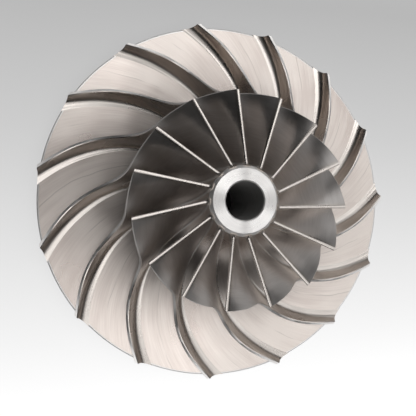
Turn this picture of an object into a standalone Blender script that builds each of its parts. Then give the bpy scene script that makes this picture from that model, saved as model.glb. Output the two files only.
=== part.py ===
"""Open-faced compressor impeller with fifteen backswept full blades.

The real wheel is milled in one piece from a stainless steel forging. Here the turned body is three
solids, the bored hub, the back disc around it and the rear boss below it. Each blade is a solid of
its own, which stands 0.3 mm clear of the body that it is cut from.

Units are metres. The axis is +Z, with the nose up. Z = 0 is the flat face of the rear boss.
Seen from the nose, blades sweep counter-clockwise on their way out, so the wheel turns clockwise.
"""

import math

import bmesh
import bpy
from mathutils import Vector

# Wheel
WHEEL_RADIUS = 0.150
BLADE_COUNT = 15
CLEARANCE = 0.0003
LATHE_SEGMENTS = 120

# Heights on the axis, from the rear boss face
BACK_FACE_Z = 0.010
RIM_THICKNESS = 0.004
RIM_FRONT_Z = BACK_FACE_Z + RIM_THICKNESS
HUB_EYE_Z = RIM_FRONT_Z + 0.0753
TIP_EYE_Z = RIM_FRONT_Z + 0.0739
NOSE_Z = RIM_FRONT_Z + 0.0785

# Radii of the turned body
BORE_RADIUS = 0.0133
NOSE_RADIUS = 0.0225
HUB_EYE_RADIUS = 0.0245
HUB_SPLIT_RADIUS = 0.070
BOSS_RADIUS = 0.034
EDGE_CHAMFER = 0.0008
RIM_EDGE = 0.0005

# Hub line in the meridional plane: how far it runs straight before it bends, at each end
HUB_AXIAL_PULL = (0.0046, 0.0443)
HUB_RADIAL_PULL = (0.088, 0.002)
HUB_STEPS = 22

# Tip line in the meridional plane: a steep cone, an arc and a nearly flat cone
TIP_EYE_RADIUS = 0.0759
TIP_EYE_FLARE = 0.1725
TIP_BEND_RADIUS = 0.046
TIP_EXIT_SLOPE = 0.13
EXIT_WIDTH = 0.0081

# Turn of each blade about the axis, in degrees, and how it is spread from eye to rim
FIRST_EYE_ANGLE = 116.13
TIP_WRAP = 53.45
TIP_WRAP_SPREAD = (0.0, 0.532, 0.574, 0.563, 0.841, 1.0)
EYE_LEAN = 8.18
HUB_WRAP = 61.47
HUB_WRAP_SPREAD = (0.0, 0.406, 0.493, 0.557, 0.684, 0.858, 1.0)

# Blade section
TIP_THICKNESS = 0.0024
ROOT_THICKNESS = 0.0034
NOSE_TAPER = 0.5
NOSE_TAPER_LENGTH = 0.014
BLADE_STATIONS = 20

# Root fillet, from the inner part of the blade to its exit: reach along the hub, height and growth
FILLET_REACH = (0.0017, 0.0079)
FILLET_HEIGHT = (0.0030, 0.0076)
FILLET_GROWS_FROM = 0.45
FILLET_GROWTH_POWER = 1.5
FILLET_FOOT_TILT = 0.27

STEEL = (0.62, 0.60, 0.57, 1.0)


def bezier(points, t):
    """Point on a Bezier curve of any degree, by repeated blending."""
    row = list(points)
    while len(row) > 1:
        row = [a * (1.0 - t) + b * t for a, b in zip(row, row[1:])]
    return row[0]


def cylindrical(radius, angle, height):
    return Vector((radius * math.cos(angle), radius * math.sin(angle), height))


def hub_curve():
    """Control points (radius, z) of the hub line, from the eye to the rim."""
    eye = Vector((HUB_EYE_RADIUS, HUB_EYE_Z))
    rim = Vector((WHEEL_RADIUS, RIM_FRONT_Z))
    down = Vector((HUB_AXIAL_PULL[0], -HUB_AXIAL_PULL[1]))
    inward = Vector((-HUB_RADIAL_PULL[0], HUB_RADIAL_PULL[1]))
    return eye, eye + down, rim + inward, rim


def sampled_hub(count=400):
    """Points down the hub line with the share of its length reached at each."""
    curve = hub_curve()
    points = [bezier(curve, i / count) for i in range(count + 1)]
    run = [0.0]
    for a, b in zip(points, points[1:]):
        run.append(run[-1] + (b - a).length)
    return points, [length / run[-1] for length in run]


HUB_POINTS, HUB_SHARES = sampled_hub()


def hub_line(share):
    """Point (radius, z) on the hub line at a share of its length."""
    upper = next((i for i, s in enumerate(HUB_SHARES) if s >= share), len(HUB_SHARES) - 1)
    upper = max(upper, 1)
    low, high = HUB_SHARES[upper - 1], HUB_SHARES[upper]
    return HUB_POINTS[upper - 1].lerp(HUB_POINTS[upper], (share - low) / (high - low))


def seat_on_hub(point):
    """Nearest place to a point on the hub surface, raised by the clearance, at the same angle."""
    flat = Vector((math.hypot(point.x, point.y), point.z))
    near = min(range(1, len(HUB_POINTS) - 1), key=lambda i: (HUB_POINTS[i] - flat).length)
    along = (HUB_POINTS[near + 1] - HUB_POINTS[near - 1]).normalized()
    foot = HUB_POINTS[near] + along * (flat - HUB_POINTS[near]).dot(along)
    outward = Vector((-along.y, along.x))
    place = foot + outward * CLEARANCE
    return cylindrical(min(place.x, WHEEL_RADIUS), math.atan2(point.y, point.x), place.y)


def tip_line(share):
    """Point (radius, z) on the tip line: straight, then an arc, then straight to the rim."""
    start = Vector((TIP_EYE_RADIUS, TIP_EYE_Z))
    end = Vector((WHEEL_RADIUS, RIM_FRONT_Z + EXIT_WIDTH))
    down = Vector((math.sin(TIP_EYE_FLARE), -math.cos(TIP_EYE_FLARE)))
    out = Vector((1.0, -TIP_EXIT_SLOPE)).normalized()
    across = Vector((-down.y, down.x))
    gap = end - start
    cross = down.x * out.y - down.y * out.x
    first = (gap.x * out.y - gap.y * out.x) / cross
    last = (down.x * gap.y - down.y * gap.x) / cross
    turn = math.acos(down.dot(out))
    trim = TIP_BEND_RADIUS * math.tan(turn / 2.0)
    lengths = (first - trim, TIP_BEND_RADIUS * turn, last - trim)
    run = share * sum(lengths)
    if run < lengths[0]:
        return start + down * run
    if run < lengths[0] + lengths[1]:
        swing = (run - lengths[0]) / TIP_BEND_RADIUS
        centre = start + down * lengths[0] + across * TIP_BEND_RADIUS
        return centre + TIP_BEND_RADIUS * (down * math.sin(swing) - across * math.cos(swing))
    return end - out * (sum(lengths) - run)


def camber(share, height):
    """Point on the blade's middle surface, which is ruled: 0 at the root, 1 at the tip."""
    hub = hub_line(share)
    tip = tip_line(share)
    tip_angle = math.radians(FIRST_EYE_ANGLE + TIP_WRAP * bezier(TIP_WRAP_SPREAD, share))
    hub_turn = -EYE_LEAN + HUB_WRAP * bezier(HUB_WRAP_SPREAD, share)
    hub_angle = math.radians(FIRST_EYE_ANGLE + hub_turn)
    root = cylindrical(hub.x, hub_angle, hub.y)
    return root.lerp(cylindrical(tip.x, tip_angle, tip.y), height)


def camber_frame(share, height):
    """Unit vectors along the stream and square to the blade's middle surface."""
    step = 0.004
    before = max(share - step, 0.0)
    after = min(share + step, 1.0)
    along = (camber(after, height) - camber(before, height)).normalized()
    upward = camber(share, 1.0) - camber(share, 0.0)
    return along, along.cross(upward).normalized()


def trimmed_to_rim(point, along):
    """Slide a trailing edge point along the stream until it lies on the wheel's outer radius."""
    flat = Vector((point.x, point.y))
    slide = Vector((along.x, along.y))
    a = slide.dot(slide)
    b = flat.dot(slide)
    c = flat.dot(flat) - WHEEL_RADIUS ** 2
    distance = (-b + math.sqrt(b * b - a * c)) / a
    return point + along * distance


def blade_section(share, side, height, foot=0.0):
    """Point on one face of the blade; side is 1 or -1, foot widens it over the root fillet."""
    along, square = camber_frame(share, height)
    thickness = ROOT_THICKNESS + (TIP_THICKNESS - ROOT_THICKNESS) * height
    taper = min(1.0, NOSE_TAPER + (1.0 - NOSE_TAPER) * share / NOSE_TAPER_LENGTH)
    point = camber(share, height) + square * side * (thickness * taper / 2.0 + foot)
    if share >= 1.0:
        point = trimmed_to_rim(point, along)
    return point


def fillet_size(share):
    """Reach along the hub and height up the face of the root fillet, which is widest at the exit."""
    grown = max(0.0, (share - FILLET_GROWS_FROM) / (1.0 - FILLET_GROWS_FROM)) ** FILLET_GROWTH_POWER
    reach = FILLET_REACH[0] + (FILLET_REACH[1] - FILLET_REACH[0]) * grown
    height = FILLET_HEIGHT[0] + (FILLET_HEIGHT[1] - FILLET_HEIGHT[0]) * grown
    return reach, height


def blade_loop(share):
    """Closed ring of points round the blade at one station, from the root's middle and back."""
    span = (camber(share, 1.0) - camber(share, 0.0)).length
    reach, rise = fillet_size(share)
    top = rise / span
    middle = (0.5 * FILLET_FOOT_TILT * reach + 0.25 * rise) / span
    ring = [seat_on_hub(camber(share, 0.0))]
    for side, order in ((1.0, 1), (-1.0, -1)):
        face = [
            seat_on_hub(blade_section(share, side, 0.0, reach)),
            blade_section(share, side, middle, 0.25 * reach),
            blade_section(share, side, top),
            blade_section(share, side, 0.5 * (top + 1.0)),
            blade_section(share, side, 1.0),
        ]
        ring.extend(face[::order])
    return ring


def blade_shares():
    """Stations from the leading edge to the rim, with one close behind the leading edge."""
    rest = [i / (BLADE_STATIONS - 2) for i in range(1, BLADE_STATIONS - 1)]
    return [0.0, NOSE_TAPER_LENGTH] + rest


def blade_mesh():
    """One blade at the place of the first one."""
    bm = bmesh.new()
    rings = [[bm.verts.new(point) for point in blade_loop(share)] for share in blade_shares()]
    for ring, following in zip(rings, rings[1:]):
        for i, corner in enumerate(ring):
            j = (i + 1) % len(ring)
            bm.faces.new((corner, ring[j], following[j], following[i]))
    bm.faces.new(rings[0])
    bm.faces.new(rings[-1])
    return finished_mesh(bm, "blade")


def turned_mesh(name, profile):
    """Closed profile of (radius, z) points spun once round the axis."""
    bm = bmesh.new()
    ring = [bm.verts.new((radius, 0.0, height)) for radius, height in profile]
    edges = [bm.edges.new((a, b)) for a, b in zip(ring, ring[1:] + ring[:1])]
    bmesh.ops.spin(
        bm,
        geom=ring + edges,
        cent=(0.0, 0.0, 0.0),
        axis=(0.0, 0.0, 1.0),
        angle=math.tau,
        steps=LATHE_SEGMENTS,
        use_merge=True,
    )
    return finished_mesh(bm, name)


def finished_mesh(bm, name):
    bmesh.ops.recalc_face_normals(bm, faces=bm.faces)
    mesh = bpy.data.meshes.new(name)
    bm.to_mesh(mesh)
    bm.free()
    mesh.shade_smooth()
    mesh.set_sharp_from_angle(angle=math.radians(30.0))
    return mesh


def hub_profile():
    """Section of the hub: bore, nose, concave flare out to the split, and flat underside."""
    split = HUB_SPLIT_RADIUS - CLEARANCE / 2.0
    flare = [hub_line(i / HUB_STEPS) for i in range(HUB_STEPS + 1)]
    flare = [(point.x, point.y) for point in flare if point.x < split - EDGE_CHAMFER]
    split_z = next(p.y for p in HUB_POINTS if p.x >= split)
    return [
        (BORE_RADIUS, BACK_FACE_Z),
        (BORE_RADIUS, NOSE_Z - EDGE_CHAMFER),
        (BORE_RADIUS + EDGE_CHAMFER, NOSE_Z),
        (NOSE_RADIUS - EDGE_CHAMFER, NOSE_Z),
        (NOSE_RADIUS, NOSE_Z - EDGE_CHAMFER),
        *flare,
        (split, split_z),
        (split, BACK_FACE_Z),
    ]


def disc_profile():
    """Section of the back disc, from the split out to the thin rim."""
    split = HUB_SPLIT_RADIUS + CLEARANCE / 2.0
    flare = [hub_line(i / HUB_STEPS) for i in range(HUB_STEPS)]
    flare = [(point.x, point.y) for point in flare if point.x > split + EDGE_CHAMFER]
    split_z = next(p.y for p in HUB_POINTS if p.x >= split)
    return [
        (split, split_z),
        *flare,
        (WHEEL_RADIUS - RIM_EDGE, RIM_FRONT_Z),
        (WHEEL_RADIUS, RIM_FRONT_Z - RIM_EDGE),
        (WHEEL_RADIUS, BACK_FACE_Z + RIM_EDGE),
        (WHEEL_RADIUS - RIM_EDGE, BACK_FACE_Z),
        (split, BACK_FACE_Z),
    ]


def boss_profile():
    """Section of the rear boss, the flat ring that the wheel stands on."""
    return [
        (BORE_RADIUS, EDGE_CHAMFER),
        (BORE_RADIUS, BACK_FACE_Z - CLEARANCE),
        (BOSS_RADIUS, BACK_FACE_Z - CLEARANCE),
        (BOSS_RADIUS, EDGE_CHAMFER),
        (BOSS_RADIUS - EDGE_CHAMFER, 0.0),
        (BORE_RADIUS + EDGE_CHAMFER, 0.0),
    ]


def steel_material(name, roughness):
    material = bpy.data.materials.new(name)
    material.use_nodes = True
    shader = material.node_tree.nodes["Principled BSDF"]
    shader.inputs["Base Color"].default_value = STEEL
    shader.inputs["Metallic"].default_value = 1.0
    shader.inputs["Roughness"].default_value = roughness
    return material


def add_object(name, mesh, angle=0.0):
    part = bpy.data.objects.new(name, mesh)
    part.rotation_euler.z = angle
    bpy.context.scene.collection.objects.link(part)
    return part


def clear_scene():
    for old in list(bpy.data.objects):
        bpy.data.objects.remove(old, do_unlink=True)


def build():
    clear_scene()
    turned = steel_material("turned_steel", 0.3)
    milled = steel_material("milled_steel", 0.35)
    rings = {"hub": hub_profile(), "back_disc": disc_profile(), "rear_boss": boss_profile()}
    for name, profile in rings.items():
        mesh = turned_mesh(name, profile)
        mesh.materials.append(turned)
        add_object(name, mesh)
    mesh = blade_mesh()
    mesh.materials.append(milled)
    for k in range(BLADE_COUNT):
        add_object(f"blade_{k + 1:02d}", mesh, -k * math.tau / BLADE_COUNT)


build()
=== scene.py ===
"""Compressor impeller milled from one steel forging, lying on its back under a soft studio light."""

import math
from bisect import bisect_left

import bmesh
import bpy
from mathutils import Matrix, Vector


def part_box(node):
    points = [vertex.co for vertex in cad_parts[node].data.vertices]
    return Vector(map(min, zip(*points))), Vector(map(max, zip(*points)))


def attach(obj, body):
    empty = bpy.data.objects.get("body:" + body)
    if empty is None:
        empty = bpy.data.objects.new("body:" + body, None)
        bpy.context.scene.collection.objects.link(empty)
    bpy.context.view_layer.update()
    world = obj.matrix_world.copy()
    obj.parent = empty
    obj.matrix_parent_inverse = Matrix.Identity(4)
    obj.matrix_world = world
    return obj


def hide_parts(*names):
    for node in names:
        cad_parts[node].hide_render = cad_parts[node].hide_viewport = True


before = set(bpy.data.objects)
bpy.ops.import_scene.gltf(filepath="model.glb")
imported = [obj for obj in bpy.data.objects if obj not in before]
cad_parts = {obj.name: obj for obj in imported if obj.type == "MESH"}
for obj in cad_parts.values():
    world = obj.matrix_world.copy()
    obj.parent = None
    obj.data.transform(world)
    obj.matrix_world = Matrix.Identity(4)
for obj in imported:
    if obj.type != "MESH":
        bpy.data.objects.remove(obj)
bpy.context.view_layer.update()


# Turned body. The hub, the back disc and the rear boss are one stainless forging, turned all over and
# bored for its shaft. The trumpet-shaped front is then milled between the blades, the nose stays turned
# and bright, and the bore is left rougher and painted darker, a painted shade for the shadow inside it.

WHEEL_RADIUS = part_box("back_disc")[1].x
NOSE_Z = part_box("hub")[1].z
BACK_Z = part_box("back_disc")[0].z
DISC_THICKNESS = 0.0040
RIM_FRONT_Z = BACK_Z + DISC_THICKNESS
BORE_RADIUS = 0.0133
NOSE_RADIUS = 0.0225
HUB_EYE = Vector((0.0245, RIM_FRONT_Z + 0.0753))
HUB_BEND = (Vector((0.0291, RIM_FRONT_Z + 0.0310)), Vector((0.0620, RIM_FRONT_Z + 0.0020)))
BOSS_RADIUS = 0.0340
BOSS_FILLET = 0.0040
CHAMFER = 0.0008
NOSE_CHAMFER = 0.0004
RIM_CHAMFER = 0.0009
CORNER_GAP = 0.0001
LATHE_STEPS = 360
BORE_STEPS = 8
NOSE_STEPS = 6
BOSS_FILLET_STEPS = 8
BACK_STEPS = 20
HUB_LINE_STEPS = 1200
HUB_STEPS = 96
EYE_SHARE = 0.11
EYE_STEPS = 11
BODY_SHARP_ANGLE = 25.0
BLADE_COUNT = 15
FIRST_EYE_ANGLE = 116.13
EYE_LEAN = 8.18
HUB_WRAP = 61.49
HUB_WRAP_SPREAD = (0.0, 0.396, 0.534, 0.514, 0.685, 0.842, 1.0)
EXIT_STEP = 0.01
SEAM_PLACE = 0.535
SEAM_WIDTH = 0.016
LATHE_LINES = 2200.0
QUARTER_TURN = 0.25
BRIGHT_TINTS = ((0.88, 0.86, 0.84), (1.0, 0.975, 0.955))
# The bore's tints are painted shade: darker than the rest of the body, for the shadow down inside it.
BORE_SHADE_TINTS = ((0.62, 0.61, 0.60), (0.74, 0.73, 0.72))
MILLED_SLOT, SHADED_BORE_SLOT = 1, 2


def bezier(points, t):
    """Point on a Bezier curve of any degree, by repeated blending."""
    row = list(points)
    while len(row) > 1:
        row = [a * (1.0 - t) + b * t for a, b in zip(row, row[1:])]
    return row[0]


def measured_line(points):
    """Running length at each point of a line, as shares of the whole."""
    run = [0.0]
    for a, b in zip(points, points[1:]):
        run.append(run[-1] + (b - a).length)
    return [length / run[-1] for length in run]


def at_share(points, shares, share):
    """Point on a line at a share of its length, also a little beyond its ends."""
    upper = min(max(bisect_left(shares, share), 1), len(shares) - 1)
    low, high = shares[upper - 1], shares[upper]
    return points[upper - 1].lerp(points[upper], (share - low) / (high - low))


def on_wheel(radius, angle, height):
    """Point at a radius, an angle in radians and a height."""
    return Vector((radius * math.cos(angle), radius * math.sin(angle), height))


def wrapped(spread, share):
    """Part of a blade's wrap that is done at a share of the way from eye to rim, or a little beyond it."""
    done = bezier(spread, min(share, 1.0))
    if share > 1.0:
        done += (share - 1.0) * (1.0 - bezier(spread, 1.0 - EXIT_STEP)) / EXIT_STEP
    return done


def root_angle(share):
    """Angle in degrees of the first blade's root at a share of the way from eye to rim."""
    return FIRST_EYE_ANGLE - EYE_LEAN + HUB_WRAP * wrapped(HUB_WRAP_SPREAD, share)


hub_curve = (HUB_EYE, *HUB_BEND, Vector((WHEEL_RADIUS, RIM_FRONT_Z)))
hub_points = [bezier(hub_curve, i / HUB_LINE_STEPS) for i in range(HUB_LINE_STEPS + 1)]
hub_shares = measured_line(hub_points)


def between(start, end, steps):
    """Values that divide a stretch into equal steps, without its two ends."""
    return [start + (end - start) * i / steps for i in range(1, steps)]


def arc(centre, radius, start, end, steps):
    """Points on an arc in the lathe's (radius, z) plane, angles in degrees."""
    angles = [math.radians(start + (end - start) * i / steps) for i in range(steps + 1)]
    return [(centre[0] + radius * math.cos(a), centre[1] + radius * math.sin(a)) for a in angles]


def body_profile():
    """Closed section of the body as (radius, z, share along the milled front or None)."""
    turned = [
        (BORE_RADIUS + CHAMFER, 0.0),
        (BORE_RADIUS, CHAMFER),
        *[(BORE_RADIUS, z) for z in between(CHAMFER, NOSE_Z - CHAMFER, BORE_STEPS)],
        (BORE_RADIUS, NOSE_Z - CHAMFER),
        (BORE_RADIUS + CHAMFER, NOSE_Z),
        *[(r, NOSE_Z) for r in between(BORE_RADIUS + CHAMFER, NOSE_RADIUS - CHAMFER, NOSE_STEPS)],
        (NOSE_RADIUS - NOSE_CHAMFER, NOSE_Z),
        (NOSE_RADIUS, NOSE_Z - NOSE_CHAMFER),
    ]
    near_eye = [0.0, *between(0.0, EYE_SHARE, EYE_STEPS), EYE_SHARE]
    front = []
    for share in near_eye + between(EYE_SHARE, 1.0, HUB_STEPS - EYE_STEPS):
        point = at_share(hub_points, hub_shares, share)
        if point.x < WHEEL_RADIUS - RIM_CHAMFER - CORNER_GAP:
            front.append((point.x, point.y, share))
    fillet_centre = (BOSS_RADIUS + BOSS_FILLET, BACK_Z - BOSS_FILLET)
    back = [
        (WHEEL_RADIUS - RIM_CHAMFER, RIM_FRONT_Z),
        (WHEEL_RADIUS, RIM_FRONT_Z - RIM_CHAMFER),
        (WHEEL_RADIUS, BACK_Z + RIM_CHAMFER),
        (WHEEL_RADIUS - RIM_CHAMFER, BACK_Z),
        *[(r, BACK_Z) for r in between(WHEEL_RADIUS, fillet_centre[0], BACK_STEPS)],
        *arc(fillet_centre, BOSS_FILLET, 90.0, 180.0, BOSS_FILLET_STEPS),
        (BOSS_RADIUS, CHAMFER),
        (BOSS_RADIUS - CHAMFER, 0.0),
    ]
    return [(r, z, None) for r, z in turned] + front + [(r, z, None) for r, z in back]


def body_mesh():
    """The section spun round the axis; a UV map on the milled front follows the channels."""
    profile = body_profile()
    bm = bmesh.new()
    uv = bm.loops.layers.uv.new("channel")
    rings = []
    for step in range(LATHE_STEPS):
        angle = math.tau * step / LATHE_STEPS
        rings.append([bm.verts.new(on_wheel(r, angle, z)) for r, z, _ in profile])
    pitch = 360.0 / BLADE_COUNT
    for step in range(LATHE_STEPS):
        here, there = rings[step], rings[(step + 1) % LATHE_STEPS]
        turns = (360.0 * step / LATHE_STEPS, 360.0 * (step + 1) / LATHE_STEPS)
        for i in range(len(profile)):
            j = (i + 1) % len(profile)
            face = bm.faces.new((here[i], there[i], there[j], here[j]))
            near, far = profile[i][2], profile[j][2]
            # The bore's faces take the bore's steel, which is painted darker as painted shade.
            if max(profile[i][0], profile[j][0]) <= BORE_RADIUS:
                face.material_index = SHADED_BORE_SLOT
            if near is None or far is None:
                continue
            face.material_index = MILLED_SLOT
            corners = ((turns[0], near), (turns[1], near), (turns[1], far), (turns[0], far))
            for loop, (turn, share) in zip(face.loops, corners):
                loop[uv].uv = ((turn - root_angle(share)) / pitch, share)
    bmesh.ops.recalc_face_normals(bm, faces=bm.faces)
    mesh = bpy.data.meshes.new("wheel_body")
    bm.to_mesh(mesh)
    bm.free()
    mesh.shade_smooth()
    mesh.set_sharp_from_angle(angle=math.radians(BODY_SHARP_ANGLE))
    return mesh


def math_node(tree, operation, *operands):
    """Math node whose operands are each a number or a socket."""
    node = tree.nodes.new("ShaderNodeMath")
    node.operation = operation
    for socket, value in zip(node.inputs, operands):
        if isinstance(value, (int, float)):
            socket.default_value = value
        else:
            tree.links.new(value, socket)
    return node.outputs[0]


def blend_node(tree, factor, first, second):
    """Mix of two colours, each given as a value or as a socket."""
    node = tree.nodes.new("ShaderNodeMix")
    node.data_type = "RGBA"
    tree.links.new(factor, node.inputs["Factor"])
    color_inputs = [socket for socket in node.inputs if socket.type == "RGBA"]
    for socket, value in zip(color_inputs, (first, second)):
        if isinstance(value, tuple):
            socket.default_value = (*value, 1.0)
        else:
            tree.links.new(value, socket)
    return next(socket for socket in node.outputs if socket.type == "RGBA")


def cutter_marks():
    """Shader group: fine lines left by a cutter, in two sizes, with soft streaks between them."""
    group = bpy.data.node_groups.new("cutter_marks", "ShaderNodeTree")
    sockets = group.interface
    for name, value in (("Across", 0.0), ("Along", 0.0), ("Lines", 30.0), ("Stretch", 3.0), ("Seed", 0.0)):
        sockets.new_socket(name, in_out="INPUT", socket_type="NodeSocketFloat").default_value = value
    for name in ("Streaks", "Lines height", "Broad height"):
        sockets.new_socket(name, in_out="OUTPUT", socket_type="NodeSocketFloat")
    nodes, links = group.nodes, group.links
    start, end = nodes.new("NodeGroupInput"), nodes.new("NodeGroupOutput")

    def noise(across, along):
        """Noise over two coordinates, in the layer that the seed picks."""
        place = nodes.new("ShaderNodeCombineXYZ")
        links.new(across, place.inputs["X"])
        links.new(along, place.inputs["Y"])
        links.new(start.outputs["Seed"], place.inputs["Z"])
        grain = nodes.new("ShaderNodeTexNoise")
        grain.inputs["Scale"].default_value = 1.0
        grain.inputs["Detail"].default_value = 2.0
        grain.inputs["Roughness"].default_value = 0.6
        links.new(place.outputs["Vector"], grain.inputs["Vector"])
        return grain.outputs["Fac"]

    def times(first, second):
        """Product of two numbers or sockets."""
        return math_node(group, "MULTIPLY", first, second)

    line = times(start.outputs["Across"], start.outputs["Lines"])
    run = times(start.outputs["Along"], start.outputs["Stretch"])
    broad = noise(times(line, 0.22), run)
    fine = noise(times(line, 1.6), times(run, 2.0))
    wavering = math_node(group, "MULTIPLY_ADD", broad, 0.8, line)
    wave = math_node(group, "SINE", times(wavering, math.tau))
    ridges = math_node(group, "MULTIPLY_ADD", wave, 0.5, 0.5)
    streaks = math_node(group, "MULTIPLY_ADD", fine, 0.45, times(broad, 0.55))
    height = math_node(group, "MULTIPLY_ADD", ridges, 0.6, times(fine, 0.8))
    links.new(streaks, end.inputs["Streaks"])
    links.new(height, end.inputs["Lines height"])
    links.new(broad, end.inputs["Broad height"])
    return group


MARKS = cutter_marks()


class Finish:
    """A bare steel material under construction. Highlights spread across its marks, not along them."""

    def __init__(self, name, anisotropy=0.0):
        self.material = bpy.data.materials.new(name)
        self.material.use_nodes = True
        self.tree = self.material.node_tree
        self.nodes, self.links = self.tree.nodes, self.tree.links
        self.shader = self.nodes["Principled BSDF"]
        self.shader.inputs["Metallic"].default_value = 1.0
        self.shader.inputs["Anisotropic"].default_value = anisotropy
        self.shader.inputs["Anisotropic Rotation"].default_value = QUARTER_TURN
        self.place = self.nodes.new("ShaderNodeTexCoord")

    def uv(self, name):
        """The two coordinates of a UV map."""
        layer = self.nodes.new("ShaderNodeUVMap")
        layer.uv_map = name
        axes = self.nodes.new("ShaderNodeSeparateXYZ")
        self.links.new(layer.outputs["UV"], axes.inputs["Vector"])
        return axes.outputs["X"], axes.outputs["Y"]

    def math(self, operation, *operands):
        """Result of a math node in this material."""
        return math_node(self.tree, operation, *operands)

    def marks(self, across, along, lines, stretch, seed):
        """Cutter marks: lines is how many lie across one unit, stretch how fast they change along it."""
        group = self.nodes.new("ShaderNodeGroup")
        group.node_tree = MARKS
        self.links.new(across, group.inputs["Across"])
        self.links.new(along, group.inputs["Along"])
        group.inputs["Lines"].default_value = lines
        group.inputs["Stretch"].default_value = stretch
        group.inputs["Seed"].default_value = seed
        return group.outputs["Streaks"], group.outputs["Lines height"], group.outputs["Broad height"]

    def clouds(self, scale, detail=2.0):
        """Soft noise in the object's own space."""
        grain = self.nodes.new("ShaderNodeTexNoise")
        grain.inputs["Scale"].default_value = scale
        grain.inputs["Detail"].default_value = detail
        self.links.new(self.place.outputs["Object"], grain.inputs["Vector"])
        return grain.outputs["Fac"]

    def ranged(self, value, low, high, to_low=0.0, to_high=1.0):
        """A value's range from low to high, eased into another range."""
        node = self.nodes.new("ShaderNodeMapRange")
        node.interpolation_type = "SMOOTHSTEP"
        self.links.new(value, node.inputs["Value"])
        node.inputs["From Min"].default_value = low
        node.inputs["From Max"].default_value = high
        node.inputs["To Min"].default_value = to_low
        node.inputs["To Max"].default_value = to_high
        return node.outputs["Result"]

    def blend(self, factor, first, second):
        """Mix of two colours in this material."""
        return blend_node(self.tree, factor, first, second)

    def color(self, tint):
        """Sets the metal's colour."""
        self.links.new(tint, self.shader.inputs["Base Color"])

    def gloss(self, tone):
        """Sets the metal's roughness."""
        self.links.new(tone, self.shader.inputs["Roughness"])

    def relief(self, *layers):
        """Bump layers as (height, depth in metres), one on top of the other."""
        normal = None
        for height, depth in layers:
            bump = self.nodes.new("ShaderNodeBump")
            bump.inputs["Distance"].default_value = depth
            self.links.new(height, bump.inputs["Height"])
            if normal is not None:
                self.links.new(normal, bump.inputs["Normal"])
            normal = bump.outputs["Normal"]
        self.links.new(normal, self.shader.inputs["Normal"])


def turned_finish(name, anisotropy, roughness, tints=BRIGHT_TINTS):
    """Lathe finish: fine rings round the axis, at a pitch well under a millimetre."""
    finish = Finish(name, anisotropy)
    axes = finish.nodes.new("ShaderNodeSeparateXYZ")
    finish.links.new(finish.place.outputs["Object"], axes.inputs["Vector"])
    flat = finish.nodes.new("ShaderNodeCombineXYZ")
    finish.links.new(axes.outputs["X"], flat.inputs["X"])
    finish.links.new(axes.outputs["Y"], flat.inputs["Y"])
    radius = finish.nodes.new("ShaderNodeVectorMath")
    radius.operation = "LENGTH"
    finish.links.new(flat.outputs["Vector"], radius.inputs[0])
    across = finish.math("ADD", radius.outputs["Value"], axes.outputs["Z"])
    turn = finish.math("ARCTAN2", axes.outputs["Y"], axes.outputs["X"])
    streaks, lines, _ = finish.marks(across, turn, LATHE_LINES, 0.6, 3.0)
    finish.color(finish.blend(finish.ranged(streaks, 0.35, 0.65), *tints))
    finish.gloss(finish.ranged(streaks, 0.3, 0.7, roughness - 0.04, roughness + 0.04))
    finish.relief((lines, 0.000004))
    tangent = finish.nodes.new("ShaderNodeTangent")
    tangent.direction_type = "RADIAL"
    tangent.axis = "Z"
    finish.links.new(tangent.outputs["Tangent"], finish.shader.inputs["Tangent"])
    return finish.material


def milled_floor_finish():
    """Ball-milled front: lines that follow the channel, a seam down its middle, and faint clouds."""
    finish = Finish("milled_floor_steel")
    u, v = finish.uv("channel")
    channel = finish.math("FRACT", u)
    streaks, lines, broad = finish.marks(u, v, 30.0, 3.0, 1.0)
    clouds = finish.clouds(22.0, 1.5)
    drift = finish.math("MULTIPLY_ADD", finish.clouds(30.0), 0.16, -0.08)
    wandering = finish.math("ADD", channel, drift)
    off_seam = finish.math("ABSOLUTE", finish.math("SUBTRACT", wandering, SEAM_PLACE))
    on_seam = finish.ranged(off_seam, 0.0, SEAM_WIDTH, 1.0, 0.0)
    seam = finish.math("MULTIPLY", on_seam, finish.ranged(v, 0.50, 0.62))
    broken = finish.math("MULTIPLY", seam, finish.ranged(broad, 0.48, 0.60, 0.0, 0.42))
    tone = finish.math("MULTIPLY_ADD", clouds, 0.5, finish.math("MULTIPLY", streaks, 0.5))
    metal = finish.blend(finish.ranged(tone, 0.36, 0.62), (0.68, 0.60, 0.555), (0.86, 0.785, 0.73))
    finish.color(finish.blend(broken, metal, (0.26, 0.22, 0.20)))
    finish.gloss(finish.ranged(clouds, 0.3, 0.7, 0.27, 0.36))
    depth = finish.math("MULTIPLY", v, finish.ranged(clouds, 0.35, 0.65, 0.2, 1.0))
    ridges = finish.math("MULTIPLY", lines, depth)
    finish.relief((clouds, 0.00035), (ridges, 0.000024), (broad, 0.00003))
    return finish.material


turned_steel = turned_finish("turned_wheel_steel", 1.0, 0.30)
milled_floor = milled_floor_finish()
# The bore's steel, rougher and painted darker: a painted shade for the shadow inside the bore.
painted_shade_bore = turned_finish("bore_steel_painted_shade", 0.6, 0.40, BORE_SHADE_TINTS)

wheel_body = bpy.data.objects.new("wheel_body", body_mesh())
bpy.context.scene.collection.objects.link(wheel_body)
for material in (turned_steel, milled_floor, painted_shade_bore):
    wheel_body.data.materials.append(material)
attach(wheel_body, "root")
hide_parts("hub", "back_disc", "rear_boss")


# Blades. Fifteen alike, cut from the same forging by a ball cutter that leaves a round fillet at each
# root, wider towards the rim. The faces are ruled from root to tip and lean over near the outlet, the
# leading edges are rounded, and the tips are turned on the lathe.

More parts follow.
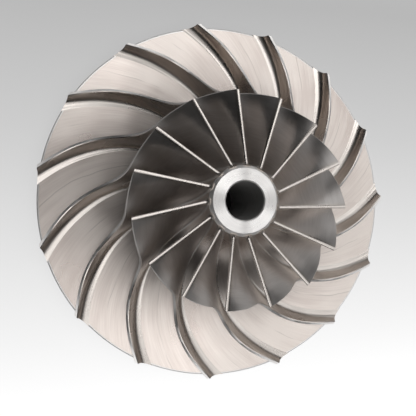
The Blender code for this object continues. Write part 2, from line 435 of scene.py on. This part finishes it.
TIP_EYE = Vector((0.0759, RIM_FRONT_Z + 0.0739))
TIP_RIM = Vector((WHEEL_RADIUS, RIM_FRONT_Z + 0.0081))
TIP_EYE_FLARE = 0.1725
TIP_BEND_RADIUS = 0.046
TIP_EXIT_SLOPE = 0.13
TIP_WRAP = 53.45
TIP_WRAP_SPREAD = (0.0, 0.532, 0.574, 0.563, 0.841, 1.0)
TIP_THICKNESS = 0.0024
ROOT_THICKNESS = 0.0034
EDGE_THICKNESS = 0.0023
EDGE_SHARE = 0.011
EDGE_ROOT_GROWTH = 0.35
BEVEL_SHARE = (0.020, 0.055)
FILLET_REACH = (0.0017, (0.0010, 0.0062))
FILLET_HEIGHT = (0.0030, (0.0030, 0.0064))
FILLET_GROWS_FROM = (0.60, 0.43)
FILLET_GROWTH_POWER = 1.45
FILLET_FOOT_TILT = 0.10
SEATING_ROUNDS = 3
FACE_SAMPLE = 0.15
SIDEWAYS_WEIGHT = 3.0
SKIRT_REACH = 0.0005
SKIRT_DEPTH = 0.0003
OUTLET_LEAN = (0.0040, 0.0021)
LEANS_FROM = (0.48, 0.84)
TIP_CHAMFER = (0.00018, 0.00055)
STREAM_LENGTH = 0.135
TANGENT_STEP = 0.003
RIM_SHARES = (0.93, 1.09)
RIM_HALVINGS = 18
BLADE_SHARP_ANGLE = 32.0
TIP_BEND_STEPS = 120
EDGE_STEPS = 8
BEVEL_STEPS = 4
STREAM_STEPS = 84
FILLET_STEPS = 9
FACE_STEPS = 12


def tip_points():
    """The tip line in the (radius, z) plane: straight, then an arc, then straight to the rim."""
    down = Vector((math.sin(TIP_EYE_FLARE), -math.cos(TIP_EYE_FLARE)))
    out = Vector((1.0, -TIP_EXIT_SLOPE)).normalized()
    across = Vector((-down.y, down.x))
    gap = TIP_RIM - TIP_EYE
    cross = down.x * out.y - down.y * out.x
    turn = math.acos(down.dot(out))
    trim = TIP_BEND_RADIUS * math.tan(turn / 2.0)
    first = (gap.x * out.y - gap.y * out.x) / cross - trim
    centre = TIP_EYE + down * first + across * TIP_BEND_RADIUS
    points = [TIP_EYE]
    for i in range(TIP_BEND_STEPS + 1):
        swing = turn * i / TIP_BEND_STEPS
        points.append(centre + TIP_BEND_RADIUS * (down * math.sin(swing) - across * math.cos(swing)))
    return points + [TIP_RIM]


tip_line = tip_points()
tip_shares = measured_line(tip_line)


def tip_angle(share):
    """Angle in degrees of the first blade's tip at a share of the way from eye to rim."""
    return FIRST_EYE_ANGLE + TIP_WRAP * wrapped(TIP_WRAP_SPREAD, share)


def camber(share, height):
    """Point on the blade's middle surface: height is 0 at the root and 1 at the tip."""
    hub = at_share(hub_points, hub_shares, share)
    tip = at_share(tip_line, tip_shares, share)
    root = on_wheel(hub.x, math.radians(root_angle(share)), hub.y)
    return root.lerp(on_wheel(tip.x, math.radians(tip_angle(share)), tip.y), height)


def camber_frame(share, height):
    """Unit vectors along the stream and square to the middle surface."""
    before, after = max(share - TANGENT_STEP, 0.0), max(share + TANGENT_STEP, 2.0 * TANGENT_STEP)
    along = (camber(after, height) - camber(before, height)).normalized()
    upward = camber(share, 1.0) - camber(share, 0.0)
    return along, along.cross(upward).normalized()


def half_thickness(share, height):
    """Half the blade's thickness: an elliptic edge, a bevel behind it, then the full blade."""
    full = ROOT_THICKNESS + (TIP_THICKNESS - ROOT_THICKNESS) * height
    edge = EDGE_THICKNESS * (1.0 + EDGE_ROOT_GROWTH * (1.0 - height))
    if share <= EDGE_SHARE:
        return 0.5 * edge * math.sqrt(max(0.0, 1.0 - (1.0 - share / EDGE_SHARE) ** 2))
    bevel = BEVEL_SHARE[0] + (BEVEL_SHARE[1] - BEVEL_SHARE[0]) * height
    grown = min(1.0, (share - EDGE_SHARE) / (bevel - EDGE_SHARE))
    return 0.5 * (edge + (full - edge) * grown)


def blade_face(share, side, height):
    """Point on one face of the blade, which leans towards the outlet: side 1 leads as the wheel turns."""
    _, square = camber_frame(share, height)
    grown = min(1.0, max(0.0, (share - LEANS_FROM[0]) / (LEANS_FROM[1] - LEANS_FROM[0])))
    lean = OUTLET_LEAN[0 if side > 0 else 1] * grown * grown * (3.0 - 2.0 * grown) * (1.0 - height)
    return camber(share, height) + square * (side * half_thickness(share, height) - lean)


def hub_foot(point):
    """Nearest place on the milled front to a point, and the outward normal there."""
    flat = Vector((math.hypot(point.x, point.y), point.z))
    low, high = 0, len(hub_points) - 2
    while low < high:
        middle = (low + high) // 2
        along = hub_points[middle + 1] - hub_points[middle]
        if (flat - hub_points[middle + 1]).dot(along) > 0.0:
            low = middle + 1
        else:
            high = middle
    along = (hub_points[low + 1] - hub_points[low]).normalized()
    foot = hub_points[low] + along * (flat - hub_points[low]).dot(along)
    angle = math.atan2(point.y, point.x)
    place = on_wheel(foot.x, angle, foot.y)
    return place, on_wheel(-along.y, angle, along.x).normalized()


def root_frame(share, side):
    """Where a face meets the hub, the way out along the hub, and the way up the face."""
    along, square = camber_frame(share, 0.0)
    corner = blade_face(share, side, 0.0)
    up = (blade_face(share, side, FACE_SAMPLE) - corner).normalized()
    for _ in range(SEATING_ROUNDS):
        foot, normal = hub_foot(corner)
        corner = corner - up * ((corner - foot).dot(normal) / up.dot(normal))
    ahead = max(0.0, 1.0 - share / EDGE_SHARE)
    outward = square * side * math.sqrt(1.0 - ahead * ahead) * SIDEWAYS_WEIGHT - along * ahead
    outward = (outward - normal * outward.dot(normal)).normalized()
    return corner, outward, up


def fillet_size(share, side):
    """Reach along the hub and height up the face of the root fillet, which is widest at the rim."""
    row = 0 if side > 0 else 1
    start = FILLET_GROWS_FROM[row]
    grown = max(0.0, (share - start) / (1.0 - start)) ** FILLET_GROWTH_POWER
    reach = FILLET_REACH[0] + (FILLET_REACH[1][row] - FILLET_REACH[0]) * grown
    return reach, FILLET_HEIGHT[0] + (FILLET_HEIGHT[1][row] - FILLET_HEIGHT[0]) * grown


def fillet_point(share, side, turn):
    """Point on the concave root fillet, which meets the hub in a crease: turn is 0 there, 1 on the face."""
    corner, outward, up = root_frame(share, side)
    reach, height = fillet_size(share, side)
    foot, _ = hub_foot(corner + outward * reach)
    knee = corner + up * FILLET_FOOT_TILT * reach
    return bezier((foot, knee, corner + up * height), turn)


def skirt_point(share, side):
    """Point just outside the fillet and under the hub's skin, which closes the seam."""
    corner, outward, _ = root_frame(share, side)
    foot, normal = hub_foot(corner + outward * (fillet_size(share, side)[0] + SKIRT_REACH))
    return foot - normal * SKIRT_DEPTH


def blade_point(share, side, line):
    """Point on one of the lines that run the length of a face, from the skirt up to the tip."""
    if line == 0:
        return skirt_point(share, side)
    if line <= FILLET_STEPS:
        return fillet_point(share, side, (line - 1) / (FILLET_STEPS - 1))
    span = (camber(share, 1.0) - camber(share, 0.0)).length
    top = fillet_point(share, side, 1.0)
    start = (top - camber(share, 0.0)).dot(camber(share, 1.0) - camber(share, 0.0)) / span ** 2
    chamfer = TIP_CHAMFER[0 if side > 0 else 1] * min(1.0, share / BEVEL_SHARE[1])
    shoulder = 1.0 - chamfer / span
    rank = line - FILLET_STEPS
    if rank <= FACE_STEPS:
        height = start + (shoulder - start) * rank / FACE_STEPS
        return blade_face(share, side, height)
    _, square = camber_frame(share, 1.0)
    inset = max(0.0, half_thickness(share, 1.0) - chamfer)
    return camber(share, 1.0) + square * side * inset


def rim_share(side, line):
    """Share at which one of those lines reaches the wheel's outer radius."""
    low, high = RIM_SHARES
    for _ in range(RIM_HALVINGS):
        middle = 0.5 * (low + high)
        point = blade_point(middle, side, line)
        if math.hypot(point.x, point.y) < WHEEL_RADIUS:
            low = middle
        else:
            high = middle
    return low


def stations(side, line):
    """Shares at which a line is sampled: round the edge, over the bevel, then down the stream."""
    height = min(1.0, max(0.0, (line - FILLET_STEPS) / FACE_STEPS))
    bevel = BEVEL_SHARE[0] + (BEVEL_SHARE[1] - BEVEL_SHARE[0]) * height
    last = rim_share(side, line)
    shares = [EDGE_SHARE * (1.0 - math.cos(0.5 * math.pi * i / EDGE_STEPS)) for i in range(EDGE_STEPS)]
    shares += [EDGE_SHARE + (bevel - EDGE_SHARE) * i / BEVEL_STEPS for i in range(BEVEL_STEPS)]
    return shares + [bevel + (last - bevel) * i / STREAM_STEPS for i in range(STREAM_STEPS + 1)]


def blade_mesh():
    """One closed blade at the place of the first one, with a UV map in metres along and up the face."""
    bm = bmesh.new()
    uv = bm.loops.layers.uv.new("face")
    turned = bm.faces.layers.bool.new("turned")
    lines = FILLET_STEPS + FACE_STEPS + 2
    grid = {}
    place = {}
    for side in (1, -1):
        for line in range(lines):
            for j, share in enumerate(stations(side, line)):
                if j == 0 and side == -1:
                    grid[side, j, line] = grid[1, 0, line]
                    continue
                vertex = bm.verts.new(blade_point(share, side, line))
                grid[side, j, line] = vertex
                place[vertex] = (share * STREAM_LENGTH, (vertex.co - camber(share, 0.0)).length)
    rim = EDGE_STEPS + BEVEL_STEPS + STREAM_STEPS
    tip = lines - 1

    def skin(*corners):
        """Face between corners, of which some may be the same vertex."""
        distinct = list(dict.fromkeys(corners))
        face = bm.faces.new(distinct)
        for loop in face.loops:
            loop[uv].uv = place[loop.vert]
        return face

    for j in range(rim):
        for side in (1, -1):
            for line in range(tip):
                here, above = grid[side, j, line], grid[side, j, line + 1]
                skin(here, grid[side, j + 1, line], grid[side, j + 1, line + 1], above)
        land = skin(grid[1, j, tip], grid[1, j + 1, tip], grid[-1, j + 1, tip], grid[-1, j, tip])
        land[turned] = True
        skin(grid[1, j, 0], grid[1, j + 1, 0], grid[-1, j + 1, 0], grid[-1, j, 0])
    for line in range(tip):
        end = skin(grid[1, rim, line], grid[1, rim, line + 1], grid[-1, rim, line + 1], grid[-1, rim, line])
        end[turned] = True
    bmesh.ops.recalc_face_normals(bm, faces=bm.faces)
    mesh = bpy.data.meshes.new("blade")
    bm.to_mesh(mesh)
    bm.free()
    mesh.shade_smooth()
    mesh.set_sharp_from_angle(angle=math.radians(BLADE_SHARP_ANGLE))
    return mesh


def milled_blade_finish():
    """Milled blade faces: lines along the stream, and a cooler and duller inlet end."""
    finish = Finish("milled_blade_steel")
    u, v = finish.uv("face")
    streaks, lines, broad = finish.marks(v, u, 650.0, 22.0, 5.0)
    clouds = finish.clouds(26.0, 1.5)
    mixed = finish.math("MULTIPLY_ADD", clouds, 0.5, finish.math("MULTIPLY", streaks, 0.5))
    tone = finish.ranged(mixed, 0.36, 0.62)
    behind_edge = finish.ranged(u, 0.001, 0.003)
    inlet = finish.math("MULTIPLY", finish.ranged(u, 0.030, 0.055, 1.0, 0.0), behind_edge)
    outer_metal = finish.blend(tone, (0.64, 0.59, 0.55), (0.82, 0.765, 0.715))
    inlet_metal = finish.blend(tone, (0.65, 0.615, 0.59), (0.80, 0.765, 0.745))
    finish.color(finish.blend(inlet, outer_metal, inlet_metal))
    finish.gloss(finish.math("MULTIPLY_ADD", inlet, 0.05, finish.ranged(clouds, 0.3, 0.7, 0.24, 0.33)))
    finish.relief((clouds, 0.0002), (lines, 0.000012), (broad, 0.00003))
    return finish.material


milled_blade = milled_blade_finish()
turned_land = turned_finish("turned_land_steel", 0.3, 0.40)

blades = bpy.data.objects.new("blades", blade_mesh())
bpy.context.scene.collection.objects.link(blades)


def blades_round_hub():
    """Geometry Nodes tree that turns one blade into a full ring of them."""
    tree = bpy.data.node_groups.new("blades_round_hub", "GeometryNodeTree")
    sockets = tree.interface
    sockets.new_socket("One blade", in_out="INPUT", socket_type="NodeSocketGeometry")
    sockets.new_socket("Blade count", in_out="INPUT", socket_type="NodeSocketInt")
    sockets.new_socket("Ring of blades", in_out="OUTPUT", socket_type="NodeSocketGeometry")
    nodes, links = tree.nodes, tree.links
    start = nodes.new("NodeGroupInput")
    end = nodes.new("NodeGroupOutput")
    points = nodes.new("GeometryNodePoints")
    index = nodes.new("GeometryNodeInputIndex")
    step = nodes.new("ShaderNodeMath")
    step.operation = "DIVIDE"
    step.inputs[0].default_value = -math.tau
    turn = nodes.new("ShaderNodeMath")
    turn.operation = "MULTIPLY"
    axis = nodes.new("ShaderNodeCombineXYZ")
    place = nodes.new("GeometryNodeInstanceOnPoints")
    real = nodes.new("GeometryNodeRealizeInstances")
    links.new(start.outputs["Blade count"], points.inputs["Count"])
    links.new(start.outputs["Blade count"], step.inputs[1])
    links.new(index.outputs["Index"], turn.inputs[0])
    links.new(step.outputs[0], turn.inputs[1])
    links.new(turn.outputs[0], axis.inputs["Z"])
    links.new(points.outputs["Points"], place.inputs["Points"])
    links.new(start.outputs["One blade"], place.inputs["Instance"])
    links.new(axis.outputs["Vector"], place.inputs["Rotation"])
    links.new(place.outputs["Instances"], real.inputs["Geometry"])
    whole = nodes.new("GeometryNodeSetMaterial")
    whole.inputs["Material"].default_value = milled_blade
    links.new(real.outputs["Geometry"], whole.inputs["Geometry"])
    where = nodes.new("GeometryNodeInputNamedAttribute")
    where.data_type = "BOOLEAN"
    where.inputs["Name"].default_value = "turned"
    lands = nodes.new("GeometryNodeSetMaterial")
    lands.inputs["Material"].default_value = turned_land
    links.new(whole.outputs["Geometry"], lands.inputs["Geometry"])
    links.new(where.outputs["Attribute"], lands.inputs["Selection"])
    links.new(lands.outputs["Geometry"], end.inputs["Ring of blades"])
    return tree


ring = blades.modifiers.new("ring", "NODES")
ring.node_group = blades_round_hub()
ring[ring.node_group.interface.items_tree["Blade count"].identifier] = BLADE_COUNT
ring_mesh = bpy.data.meshes.new_from_object(blades.evaluated_get(bpy.context.evaluated_depsgraph_get()))
blades.modifiers.remove(ring)
blades.data = ring_mesh
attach(blades, "root")
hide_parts(*[f"blade_{k + 1:02d}" for k in range(BLADE_COUNT)])


# Floor. A sheet of pale studio paper that glows as if lit from beneath, so that the wheel throws almost no
# shadow; the glow is painted light, full for the camera and a third as strong on the wheel. It goes from
# grey at the far edge of the view to white at the near edge in painted light, in steps tuned by average
# tones to the photo's backdrop, and it has painted shade below the wheel, where the bore looks down on it.

# Painted light: the paper's glow along Y, grey far from the camera and white near it.
PAINTED_LIGHT_STOPS = (
    (-0.9, 0.74), (-0.185, 0.93), (-0.119, 0.79), (-0.011, 0.60), (0.061, 0.485), (0.185, 0.34), (0.9, 0.66),
)
PAPER_GLOW = 0.33
PAPER_GREY = 0.25
# Painted shade under the wheel: the paper's grey there, and the radii over which that shade fades out.
PAINTED_SHADE_GREY = 0.03
PAINTED_SHADE_EDGE = (0.09, 0.14)
PAPER_REACH = 3.0
PAPER_Z = -0.0002


def floor_paper():
    """Paper glowing in painted light, in greys given as a place along Y and a tone, with painted shade under
    the wheel.
    """
    material = bpy.data.materials.new("studio_paper")
    material.use_nodes = True
    tree = material.node_tree
    nodes, links = tree.nodes, tree.links
    shader = nodes["Principled BSDF"]
    shader.inputs["Roughness"].default_value = 0.9
    shader.inputs["Specular IOR Level"].default_value = 0.2
    place = nodes.new("ShaderNodeTexCoord")
    axes = nodes.new("ShaderNodeSeparateXYZ")
    links.new(place.outputs["Object"], axes.inputs["Vector"])
    first, last = PAINTED_LIGHT_STOPS[0][0], PAINTED_LIGHT_STOPS[-1][0]
    across = nodes.new("ShaderNodeMapRange")
    across.inputs["From Min"].default_value = first
    across.inputs["From Max"].default_value = last
    links.new(axes.outputs["Y"], across.inputs["Value"])
    tone = nodes.new("ShaderNodeValToRGB")
    ramp = tone.color_ramp.elements
    while len(ramp) < len(PAINTED_LIGHT_STOPS):
        ramp.new(0.5)
    for stop, (y, value) in zip(ramp, PAINTED_LIGHT_STOPS):
        stop.position = (y - first) / (last - first)
        stop.color = (value, value, value, 1.0)
    links.new(across.outputs["Result"], tone.inputs["Fac"])
    length = nodes.new("ShaderNodeVectorMath")
    length.operation = "LENGTH"
    links.new(place.outputs["Object"], length.inputs[0])
    clear_of_painted_shade = nodes.new("ShaderNodeMapRange")
    clear_of_painted_shade.interpolation_type = "SMOOTHSTEP"
    clear_of_painted_shade.inputs["From Min"].default_value = PAINTED_SHADE_EDGE[0]
    clear_of_painted_shade.inputs["From Max"].default_value = PAINTED_SHADE_EDGE[1]
    links.new(length.outputs["Value"], clear_of_painted_shade.inputs["Value"])
    # The glow is painted light, and it is black in the painted shade under the wheel.
    painted_light_glow = blend_node(tree, clear_of_painted_shade.outputs["Result"], (0.0, 0.0, 0.0), tone.outputs["Color"])
    links.new(painted_light_glow, shader.inputs["Emission Color"])
    seen = nodes.new("ShaderNodeLightPath")
    strength = nodes.new("ShaderNodeMapRange")
    strength.inputs["To Min"].default_value = PAPER_GLOW
    links.new(seen.outputs["Is Camera Ray"], strength.inputs["Value"])
    links.new(strength.outputs["Result"], shader.inputs["Emission Strength"])
    # Painted shade: the paper's own grey is darkened below the wheel.
    painted_shade = blend_node(tree, clear_of_painted_shade.outputs["Result"], (PAINTED_SHADE_GREY,) * 3, (PAPER_GREY,) * 3)
    links.new(painted_shade, shader.inputs["Base Color"])
    return material


floor_mesh = bpy.data.meshes.new("floor")
corners = [(PAPER_REACH * x, PAPER_REACH * y, PAPER_Z) for x, y in ((-1, -1), (1, -1), (1, 1), (-1, 1))]
floor_mesh.from_pydata(corners, [], [(0, 1, 2, 3)])
floor = bpy.data.objects.new("floor", floor_mesh)
bpy.context.scene.collection.objects.link(floor)
floor_mesh.materials.append(floor_paper())


# Light. Seventeen round soft lamps on a wide arch to the right of the wheel and over it, so the steep
# faces and the left side of the wheel stay dark. Each row is azimuth, elevation and strength, and the
# strengths were tuned until average tones of the wheel came close to those in the photo.

LAMPS = (
    (0, 85, 0.088), (0, 71, 0.074), (90, 71, 0.290), (135, 71, 0.050), (225, 71, 0.119), (270, 71, 0.165),
    (0, 53, 0.071), (30, 53, 0.100), (60, 53, 0.150), (270, 53, 0.124), (300, 53, 0.136), (330, 53, 0.118),
    (0, 35, 0.102), (30, 35, 0.112), (90, 35, 0.150), (330, 35, 0.071), (60, 15, 0.110),
)
LAMP_DISTANCE = 3.0
LAMP_RADIUS = 0.69
ROOM_GREY = 0.012
BACKDROP_GREY = 0.80

for number, (azimuth, elevation, strength) in enumerate(LAMPS):
    lamp_data = bpy.data.lights.new(f"soft_lamp_{number + 1:02d}", "AREA")
    lamp_data.shape = "DISK"
    lamp_data.size = 2.0 * LAMP_RADIUS
    lamp_data.energy = strength * math.pi * (LAMP_DISTANCE ** 2 + LAMP_RADIUS ** 2)
    lamp = bpy.data.objects.new(lamp_data.name, lamp_data)
    level = math.cos(math.radians(elevation))
    aim = on_wheel(level, math.radians(azimuth), math.sin(math.radians(elevation)))
    facing = aim.to_track_quat("Z", "Y").to_matrix().to_4x4()
    lamp.matrix_world = Matrix.Translation(aim * LAMP_DISTANCE) @ facing
    lamp.visible_camera = False
    bpy.context.scene.collection.objects.link(lamp)

world = bpy.data.worlds.new("studio")
world.use_nodes = True
world_nodes, world_links = world.node_tree.nodes, world.node_tree.links
room = world_nodes["Background"]
room.inputs["Color"].default_value = (ROOM_GREY, ROOM_GREY, ROOM_GREY, 1.0)
backdrop = world_nodes.new("ShaderNodeBackground")
backdrop.inputs["Color"].default_value = (BACKDROP_GREY, BACKDROP_GREY, BACKDROP_GREY, 1.0)
seen = world_nodes.new("ShaderNodeLightPath")
either = world_nodes.new("ShaderNodeMixShader")
world_links.new(seen.outputs["Is Camera Ray"], either.inputs["Fac"])
world_links.new(room.outputs["Background"], either.inputs[1])
world_links.new(backdrop.outputs["Background"], either.inputs[2])
world_links.new(either.outputs["Shader"], world_nodes["World Output"].inputs["Surface"])
bpy.context.scene.world = world
bpy.context.scene.view_settings.view_transform = "Standard"


# Camera. Nearly above the wheel and close to it, a little to the left. Its lens, tilt and place were
# fitted to the wheel's circles and blade ends in the photo, in pixels of a square frame.

FRAME_PIXELS = 416.0
FOCAL_PIXELS = 391.08
CENTRE_PIXELS = (208.24, 207.73)
SENSOR_WIDTH = 36.0
CAMERA_LEAN = 0.18865
CAMERA_ROLL = -0.00518
CAMERA_DISTANCE = 0.33986
CAMERA_SHIFT = (0.01022, 0.00515)

camera_data = bpy.data.cameras.new("camera")
camera_data.sensor_width = SENSOR_WIDTH
camera_data.lens = SENSOR_WIDTH * FOCAL_PIXELS / FRAME_PIXELS
camera_data.shift_x = -(CENTRE_PIXELS[0] - 0.5 * FRAME_PIXELS) / FRAME_PIXELS
camera_data.shift_y = (CENTRE_PIXELS[1] - 0.5 * FRAME_PIXELS) / FRAME_PIXELS
camera_data.clip_start = 0.01
camera = bpy.data.objects.new("camera", camera_data)
bpy.context.scene.collection.objects.link(camera)
right = Vector((math.cos(CAMERA_LEAN), 0.0, math.sin(CAMERA_LEAN)))
leaning = Vector((-math.sin(CAMERA_LEAN), 0.0, math.cos(CAMERA_LEAN)))
up = Vector((0.0, math.cos(CAMERA_ROLL), 0.0)) + leaning * math.sin(CAMERA_ROLL)
back = leaning * math.cos(CAMERA_ROLL) - Vector((0.0, math.sin(CAMERA_ROLL), 0.0))
eye = back * CAMERA_DISTANCE - right * CAMERA_SHIFT[0] - up * CAMERA_SHIFT[1]
eye += Vector((0.0, 0.0, RIM_FRONT_Z))
camera.matrix_world = Matrix.Translation(eye) @ Matrix((right, up, back)).transposed().to_4x4()
bpy.context.scene.camera = camera
